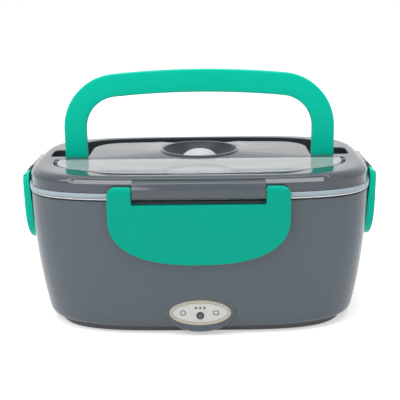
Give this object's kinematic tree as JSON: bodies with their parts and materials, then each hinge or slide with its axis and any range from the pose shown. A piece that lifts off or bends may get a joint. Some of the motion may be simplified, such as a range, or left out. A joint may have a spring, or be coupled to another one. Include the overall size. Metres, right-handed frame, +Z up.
{
  "type": "electric lunch box",
  "caption": "Oblong heated lunch box with a latched lift-off lid, a fold-down bail handle, a lift-out tray and a cutlery compartment under a clear cover.",
  "frame": {"origin": "middle of the footprint, on the surface that the feet stand on", "axes": "+Z up, the front with the lamp panel faces -Y, and the longer side lies along X"},
  "size_m": [0.2388, 0.1594, 0.1679],
  "materials": {
    "housing": "satin gloss",
    "green_plastic": "satin gloss",
    "black_plastic": "fine matt",
    "white_plastic": "satin",
    "clear_plastic": "clear gloss",
    "silicone": "translucent matt",
    "foot_rubber": "matt",
    "stainless": "brushed",
    "hardware": "plated",
    "heat_plate": "satin",
    "brass": "plain",
    "ceramic": "matt",
    "board_green": "lacquered",
    "lamp_clear": "clear",
    "lens_dark": "gloss",
    "panel_cream": "satin",
    "panel_grey": "satin film",
    "wire_brown": "satin",
    "wire_blue": "satin",
    "wire_white": "satin",
    "wire_red": "satin"
  },
  "bodies": {
    "base": {"body_shell": "housing", "base_cover": "black_plastic", "rubber_feet": "foot_rubber", "base_screws": "hardware", "heating_liner": "white_plastic", "heating_plate": "heat_plate", "plate_screws": "hardware", "heating_element": "ceramic", "element_clamp": "stainless", "clamp_screws": "hardware", "thermostat": "black_plastic", "thermal_fuse": "hardware", "power_inlet": "black_plastic", "inlet_pins": "brass", "live_wire": "wire_brown", "fuse_wire": "wire_white", "neutral_wire": "wire_blue", "lamp_wires": "wire_red", "lamp_board": "board_green", "board_screws": "hardware", "lamp_led": "lamp_clear", "lamp_lens": "lens_dark", "panel_frame": "panel_cream", "panel_plate": "panel_grey"},
    "tray": {"food_tray": "stainless"},
    "lid": {"lid_shell": "housing", "inner_lid": "white_plastic", "lid_seal": "silicone", "long_latch_pins": "hardware", "short_latch_pins": "hardware", "spoon": "stainless", "spoon_grip": "green_plastic"},
    "handle": {"handle": "green_plastic"},
    "front_latch": {"front_latch": "green_plastic"},
    "back_latch": {"back_latch": "green_plastic"},
    "left_latch": {"left_latch": "green_plastic"},
    "right_latch": {"right_latch": "green_plastic"},
    "cutlery_cover": {"cutlery_cover": "clear_plastic"},
    "vent_plug": {"vent_plug": "white_plastic"}
  },
  "joints": [
    {"name": "lid_lift", "type": "slide", "parent": "base", "child": "lid", "axis": [0, 0, 1], "range_m": [0, 0.15]},
    {"name": "tray_lift", "type": "slide", "parent": "base", "child": "tray", "axis": [0, 0, 1], "range_m": [0, 0.075]},
    {"name": "handle_swing", "type": "hinge", "parent": "lid", "child": "handle", "pos_m": [0, -0.0005, 0.1031], "axis": [-1, 0, 0], "range_deg": [0, 90]},
    {"name": "front_latch_swing", "type": "hinge", "parent": "lid", "child": "front_latch", "pos_m": [0, -0.0777, 0.1002], "axis": [-1, 0, 0], "range_deg": [0, 120]},
    {"name": "back_latch_swing", "type": "hinge", "parent": "lid", "child": "back_latch", "pos_m": [0, 0.0777, 0.1002], "axis": [1, 0, 0], "range_deg": [0, 120]},
    {"name": "left_latch_swing", "type": "hinge", "parent": "lid", "child": "left_latch", "pos_m": [-0.1174, 0, 0.1002], "axis": [0, 1, 0], "range_deg": [0, 120]},
    {"name": "right_latch_swing", "type": "hinge", "parent": "lid", "child": "right_latch", "pos_m": [0.1174, 0, 0.1002], "axis": [0, -1, 0], "range_deg": [0, 120]},
    {"name": "cover_swing", "type": "hinge", "parent": "lid", "child": "cutlery_cover", "pos_m": [0, -0.0174, 0.1068], "axis": [-1, 0, 0], "range_deg": [0, 80]},
    {"name": "plug_pull", "type": "slide", "parent": "lid", "child": "vent_plug", "axis": [0, 0, 1], "range_m": [0, 0.012]}
  ],
  "couplings": [
    {"joint": "tray_lift", "follows": "lid_lift", "ratio": 0.5},
    {"joint": "front_latch_swing", "follows": "lid_lift", "rad_per_m": 13.9},
    {"joint": "back_latch_swing", "follows": "lid_lift", "rad_per_m": 13.9},
    {"joint": "left_latch_swing", "follows": "lid_lift", "rad_per_m": 13.9},
    {"joint": "right_latch_swing", "follows": "lid_lift", "rad_per_m": 13.9}
  ]
}
